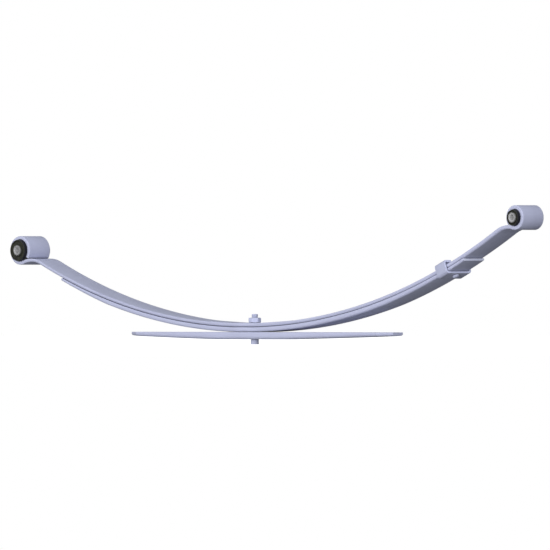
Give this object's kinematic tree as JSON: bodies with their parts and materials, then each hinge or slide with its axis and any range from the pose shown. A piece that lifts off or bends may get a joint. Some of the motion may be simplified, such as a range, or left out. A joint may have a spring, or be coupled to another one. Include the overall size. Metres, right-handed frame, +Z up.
{
  "type": "leaf spring",
  "caption": "Bowed leaf spring for a light truck's rear axle: main leaf with rolled, bushed eyes, second leaf, straight overload leaf, centre bolt and riveted rebound clip.",
  "frame": {"origin": "centre of the centre bolt's round head, on its flat end face, which locates the spring in the axle's spring pad", "axes": "+X along the spring to the rear (shackle) eye, +Y across the leaves, +Z up along the centre bolt"},
  "size_m": [1.5435, 0.077, 0.2868],
  "materials": {
    "leaf_steel": "satin pale lavender-grey coat on spring steel",
    "fastener_steel": "satin pale lavender-grey coat on steel fasteners and strap",
    "can_steel": "bare steel tube, hidden in the eye",
    "bush_rubber": "matt black moulded rubber",
    "sleeve_steel": "machined steel tube with bright end faces"
  },
  "bodies": {
    "leaf_pack": {"main_leaf": "leaf_steel", "second_leaf": "leaf_steel", "overload_leaf": "leaf_steel", "centre_bolt": "fastener_steel", "centre_bolt_nut": "fastener_steel"},
    "front_end": {"front_bush_outer_can": "can_steel", "front_bush_rubber": "bush_rubber"},
    "front_sleeve": {"front_bush_inner_sleeve": "sleeve_steel"},
    "rear_end": {"rear_bush_outer_can": "can_steel", "rear_bush_rubber": "bush_rubber", "rebound_clip": "fastener_steel", "clip_rivet": "fastener_steel"},
    "rear_sleeve": {"rear_bush_inner_sleeve": "sleeve_steel"}
  },
  "joints": [
    {"name": "front_flex", "type": "hinge", "parent": "leaf_pack", "child": "front_end", "pos_m": [-0.12, 0, 0.04012], "axis": [0, -1, 0], "range_deg": [-2, 11], "stiffness_Nm_per_rad": 3520, "deforming": ["main_leaf", "second_leaf"]},
    {"name": "rear_flex", "type": "hinge", "parent": "leaf_pack", "child": "rear_end", "pos_m": [0.15, 0, 0.04273], "axis": [0, 1, 0], "range_deg": [-2, 12], "stiffness_Nm_per_rad": 2980, "deforming": ["main_leaf", "second_leaf"]},
    {"name": "front_sleeve_twist", "type": "hinge", "parent": "front_end", "child": "front_sleeve", "pos_m": [-0.683, 0, 0.19496], "axis": [0, 1, 0], "range_deg": [-30, 30], "stiffness_Nm_per_rad": 60},
    {"name": "rear_sleeve_twist", "type": "hinge", "parent": "rear_end", "child": "rear_sleeve", "pos_m": [0.805, 0, 0.26135], "axis": [0, 1, 0], "range_deg": [-30, 30], "stiffness_Nm_per_rad": 80}
  ]
}
